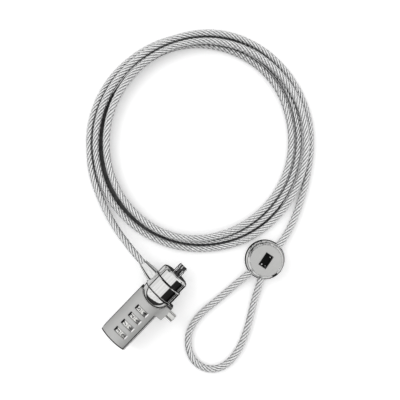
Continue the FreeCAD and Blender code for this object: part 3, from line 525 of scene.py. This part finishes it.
def seam(name, x, radius, along_, up):
    """A dark shadow gap round the lock's axis, in mm from the collar's centre."""
    v, f, m, n = [], [], 8, 120
    for q in range(n):
        a_ = 2 * math.pi * q / n
        for w in range(m):
            b_ = 2 * math.pi * w / m
            r = radius + up * math.sin(b_)
            v.append(mm(x + along_ * math.cos(b_), r * math.cos(a_), 10.5 + r * math.sin(a_)))
            f.append([q * m + w, q * m + (w + 1) % m, ((q + 1) % n) * m + (w + 1) % m, ((q + 1) % n) * m + w])
    o = new_mesh(name, np.array(v), f, M["frame_dark"])
    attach(o, "lock_body")


seam("seam_nose", 4.80, 9.52, 0.42, 0.24)
seam("seam_dome", -5.00, 9.78, 0.34, 0.20)

# painted highlights: bright strips along the T-head and along the two guide posts
for name, body, x0, x1, ys in (("tee_painted_highlights", "tee_set", 16.12, 18.45, (-2.62, 0.35, 2.10)), ("guide_painted_highlights", "lock_body", 12.5, 15.5, (-2.38, 2.38))):
    boxes = []
    for y in ys:
        lo_, hi_ = y - 0.16, y + 0.16
        boxes.append([(x0, lo_, 11.7), (x1, lo_, 11.7), (x1, hi_, 11.7), (x0, hi_, 11.7),
                      (x0, lo_, 11.90), (x1, lo_, 11.90), (x1, hi_, 11.90), (x0, hi_, 11.90)])
    edges = bars(name, boxes, M["frame_sill"])
    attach(edges, body)

WIN_W, WIN_L = 3.3, 9.2
for i in range(4):
    x = DIAL_X[i]
    x0, x1, y0, y1 = x - WIN_W / 2, x + WIN_W / 2, -WIN_L / 2, WIN_L / 2
    dark, lit_bars = [], []
    steps = np.linspace(y0, y1, 9)
    # dark bars of painted shadow down both long sides of each window
    for ya, yb in zip(steps[:-1], steps[1:]):
        for xa, xb in ((x0, x0 + 0.13), (x1 - 0.17, x1)):
            za, zb = under(ya), under(yb)
            dark.append([(xa, ya, za - 0.35), (xb, ya, za - 0.35), (xb, yb, zb - 0.35), (xa, yb, zb - 0.35),
                         (xa, ya, za + 0.02), (xb, ya, za + 0.02), (xb, yb, zb + 0.02), (xa, yb, zb + 0.02)])
    # a dark bar of painted shadow across the +Y end, where the plate's edge shades the dial
    ya, yb = y1 - 1.05, y1
    da, db = over(ya), over(yb)
    dark.append([(x0, ya, da), (x1, ya, da), (x1, yb, db), (x0, yb, db),
                 (x0, ya, da + 0.04), (x1, ya, da + 0.04), (x1, yb, under(yb) + 0.02), (x0, yb, under(yb) + 0.02)])
    # a bright sloped bar at the -Y end, a painted highlight for the lit end wall
    ya, yb = y0, y0 + 0.58
    da, db = over(ya), over(yb)
    lit_bars.append([(x0 + 0.13, ya, da), (x1 - 0.17, ya, da), (x1 - 0.17, yb, db), (x0 + 0.13, yb, db),
                 (x0 + 0.13, ya, under(ya) + 0.30), (x1 - 0.17, ya, under(ya) + 0.30), (x1 - 0.17, yb, db + 0.05), (x0 + 0.13, yb, db + 0.05)])
    bars("window_%d_frame" % (i + 1), dark, M["frame_dark"])
    bars("window_%d_sill" % (i + 1), lit_bars, M["frame_sill"])

# ------------------------------------------------------------- loop stop ---
STOP = Vector((70.1, -35.758))


def ring_piece(name, radius, z, across, up, mat, body="cable_assembly", n=96):
    """A ring of rounded section about the stop's axis, in mm."""
    v, f, m = [], [], 10
    for q in range(n):
        a_ = 2 * math.pi * q / n
        for w in range(m):
            b_ = 2 * math.pi * w / m
            r = radius + across * math.cos(b_)
            v.append((STOP.x + r * math.cos(a_), STOP.y + r * math.sin(a_), z + up * math.sin(b_)))
            f.append([q * m + w, ((q + 1) % n) * m + w, ((q + 1) % n) * m + (w + 1) % m, q * m + (w + 1) % m])
    o = new_mesh(name, np.array(v) / 1000, f, mat)
    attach(o, body)
    return o


# dark rings of painted shadow: round the stop's foot, in the groove between its face and rim, and on the rim's slope
rings = [ring_piece("stop_foot_painted_shadow", 12.40, 3.5, 0.48, 0.30, M["frame_dark"]),
         ring_piece("stop_face_painted_shadow", 9.90, 11.18, 0.26, 0.12, M["painted_shadow_dim"]),
         ring_piece("stop_rim_painted_shadow", 11.45, 8.95, 0.16, 0.16, M["painted_shadow_dim"])]
turn = math.radians(10.4)
ux, uy = Vector((math.cos(turn), math.sin(turn))), Vector((-math.sin(turn), math.cos(turn)))


def slot_bits(name, boxes, mat):
    """Blocks inside the slot: (x0, x1, y0, y1, z0, z1) along the slot's own directions, in mm."""
    v, f = [], []
    for x0, x1, y0, y1, z0, z1 in boxes:
        n0 = len(v)
        for z in (z0, z1):
            for x, y in ((x0, y0), (x1, y0), (x1, y1), (x0, y1)):
                p = STOP + ux * x + uy * y
                v.append((p.x, p.y, z))
        f += [[n0 + q for q in face] for face in ((3, 2, 1, 0), (4, 5, 6, 7), (0, 1, 5, 4), (1, 2, 6, 5), (2, 3, 7, 6), (3, 0, 4, 7))]
    o = new_mesh(name, np.array(v) / 1000, f, mat, smooth=False)
    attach(o, "cable_assembly")
    return o


# a dark block of painted shadow at the bottom of the slot
slot_painted_shadow = slot_bits("slot_painted_shadow", [(-4.6, 4.6, -2.7, 2.7, 6.25, 6.6)], M["frame_dark"])
# small bright blocks in the slot as painted glints
slot_glints = slot_bits("slot_painted_glints", [(-3.7, -3.1, 0.3, 0.9, 6.6, 8.0), (2.9, 3.4, -1.7, -1.3, 6.6, 8.0), (-3.4, -3.0, -2.0, -1.7, 6.6, 8.0)],
                        M["frame_sill"])

# ----------------------------------------------------------- return spring --
lo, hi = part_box("button_spring")
mid = (lo + hi) / 2
turns, wire_r, coil_r = 7.5, 0.00016, (hi.x - lo.x) / 2 - 0.00017
u = np.linspace(0, 1, 300)
a_ = 2 * math.pi * turns * u
cen = np.stack([mid.x + coil_r * np.cos(a_), lo.y + 0.00016 + (hi.y - lo.y - 0.00032) * u, mid.z + coil_r * np.sin(a_)], 1)
t, n, b = frames(cen)
ring = np.stack([np.cos(np.arange(8) * math.pi / 4), np.sin(np.arange(8) * math.pi / 4)], -1) * wire_r
spring = new_mesh("return_spring", *sweep(cen, n, b, np.broadcast_to(ring, (len(cen), 8, 2))), M["spring_steel"])
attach(spring, "lock_body")
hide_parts("button_spring")

# ------------------------------------------------------------------ studio --
floor_me = bpy.data.meshes.new("floor")
bm = bmesh.new()
bmesh.ops.create_grid(bm, x_segments=1, y_segments=1, size=12.0)
bm.to_mesh(floor_me)
bm.free()
floor = bpy.data.objects.new("floor", floor_me)
floor.location = (0, 0, -0.00005)
bpy.context.scene.collection.objects.link(floor)
k = Mat("floor_paper")
k.set(Roughness=0.9)
k.link(k.ramp(k.noise(6.0), [(0.2, 0.93), (0.8, 0.95)]), "Base Color")
k.b.inputs["Specular IOR Level"].default_value = 0.1
k.b.inputs["Emission Color"].default_value = (1.0, 1.0, 1.0, 1)
k.b.inputs["Emission Strength"].default_value = 0.25
floor_me.materials.append(k.m)
floor.visible_glossy = False

# deep shade on the table where two passes of the coil stand close together
inner, outer = COIL[17:36], COIL[77:96]
v, f = [], []
for q, (p, r) in enumerate(zip(inner, outer)):
    p, r = Vector(p[:2]), Vector(r[:2])
    way_out = (r - p).normalized()
    half = max(0.02, ((r - p).length / 2 - 0.9) * min(1.0, q / 4, (len(inner) - 1 - q) / 4))
    for c in ((p + r) / 2 - way_out * half, (p + r) / 2 + way_out * half):
        v.append(mm(c.x, c.y, 0.03))
    if q:
        f.append([2 * q - 2, 2 * q - 1, 2 * q + 1, 2 * q])
shade_strip = new_mesh("gap_shade", v, f, None, smooth=False)
k = Mat("gap_shade")
k.set(Roughness=0.9)
k.link(k.ramp(k.noise(160.0), [(0.3, 0.05), (0.7, 0.15)]), "Base Color")
k.b.inputs["Specular IOR Level"].default_value = 0.05
shade_strip.data.materials.clear()
shade_strip.data.materials.append(k.m)
shade_strip.visible_glossy = False

world = bpy.data.worlds.new("studio")
bpy.context.scene.world = world
world.use_nodes = True
wt = world.node_tree
bg = wt.nodes["Background"]
bg.inputs["Strength"].default_value = 1.08
way = wt.nodes.new("ShaderNodeTexCoord")
xyz = wt.nodes.new("ShaderNodeSeparateXYZ")
wt.links.new(way.outputs["Generated"], xyz.inputs[0])


def step(value, lo, hi, a, b):
    n = wt.nodes.new("ShaderNodeMapRange")
    n.interpolation_type = "SMOOTHSTEP"
    for key, v in (("From Min", lo), ("From Max", hi), ("To Min", a), ("To Max", b)):
        n.inputs[key].default_value = v
    wt.links.new(value, n.inputs["Value"])
    return n.outputs["Result"]


def calc(op, a, b=None):
    n = wt.nodes.new("ShaderNodeMath")
    n.operation = op
    for q, v in enumerate((a, b)):
        if v is None:
            continue
        if isinstance(v, (int, float)):
            n.inputs[q].default_value = v
        else:
            wt.links.new(v, n.inputs[q])
    return n.outputs[0]


# a white tent whose dark lower edge stands at a different height all round, and a dark opening on the -Y side
azimuth = wt.nodes.new("ShaderNodeMapRange")
for key, v in (("From Min", -math.pi), ("From Max", math.pi), ("To Min", 0.0), ("To Max", 1.0)):
    azimuth.inputs[key].default_value = v
wt.links.new(calc("ARCTAN2", xyz.outputs["Y"], xyz.outputs["X"]), azimuth.inputs["Value"])
edge = wt.nodes.new("ShaderNodeValToRGB")
EDGE = [(-180, 0.60), (-152, 0.58), (-125, 0.34), (-95, 0.14), (-46, 0.10), (-20, 0.26), (10, 0.36), (40, 0.34),
        (66, 0.16), (107, 0.10), (134, 0.14), (160, 0.46), (180, 0.60)]
el = edge.color_ramp.elements
while len(el) < len(EDGE):
    el.new(0.5)
for q, (az, z) in enumerate(EDGE):
    el[q].position = (az + 180) / 360
    el[q].color = (z, z, z, 1)
wt.links.new(azimuth.outputs["Result"], edge.inputs["Fac"])
tent = step(calc("SUBTRACT", xyz.outputs["Z"], edge.outputs["Color"]), -0.02, 0.03, 0.035, 1.0)
side = step(calc("ABSOLUTE", calc("ADD", xyz.outputs["X"], 0.16)), 0.10, 0.13, 1.0, 0.0)
facing = step(xyz.outputs["Y"], -0.44, -0.40, 1.0, 0.0)
below = step(xyz.outputs["Z"], 0.84, 0.88, 1.0, 0.0)
opening = calc("MULTIPLY", calc("MULTIPLY", side, facing), below)
folds = wt.nodes.new("ShaderNodeTexNoise")
folds.inputs["Scale"].default_value = 2.6
folds.inputs["Detail"].default_value = 3.0
fold_way = wt.nodes.new("ShaderNodeMapping")
fold_way.inputs["Scale"].default_value = (0.5, 2.2, 1.2)
wt.links.new(way.outputs["Generated"], fold_way.inputs["Vector"])
wt.links.new(fold_way.outputs["Vector"], folds.inputs["Vector"])
shade = step(folds.outputs["Fac"], 0.36, 0.60, 0.80, 1.0)
# below the horizon: the bright table all round, dark straight down under the object
table = calc("MULTIPLY", step(xyz.outputs["Z"], -0.86, -0.78, 0.03, 0.80), step(xyz.outputs["Z"], -0.06, -0.02, 1.0, 0.0))
tent = calc("MAXIMUM", tent, table)
level = calc("MULTIPLY", calc("MULTIPLY", tent, shade), calc("SUBTRACT", 1.0, calc("MULTIPLY", opening, 0.98)))
mix = wt.nodes.new("ShaderNodeMix")
mix.data_type = "RGBA"
mix.inputs[6].default_value = (0.0, 0.0, 0.0, 1)
mix.inputs[7].default_value = (1.0, 1.0, 1.0, 1)
wt.links.new(level, mix.inputs[0])
wt.links.new(mix.outputs[2], bg.inputs["Color"])


def area(name, at, aim, size, power, spread=3.14):
    d = bpy.data.lights.new(name, "AREA")
    d.shape = "RECTANGLE"
    d.size, d.size_y = size
    d.energy = power
    d.spread = spread
    o = bpy.data.objects.new(name, d)
    o.location = at
    o.rotation_euler = (Vector(aim) - Vector(at)).to_track_quat("-Z", "Y").to_euler()
    o.visible_glossy = False
    bpy.context.scene.collection.objects.link(o)
    return o


CENTRE = Vector((0.069, 0.021, 0.0))
key_at = CENTRE - RIGHT * 0.9 + UP * 0.55 + Vector((0, 0, 1.1))
area("key", key_at, CENTRE, (0.8, 0.8), 4.5)

bpy.context.scene.view_settings.view_transform = "Standard"
bpy.context.scene.view_settings.look = "None"
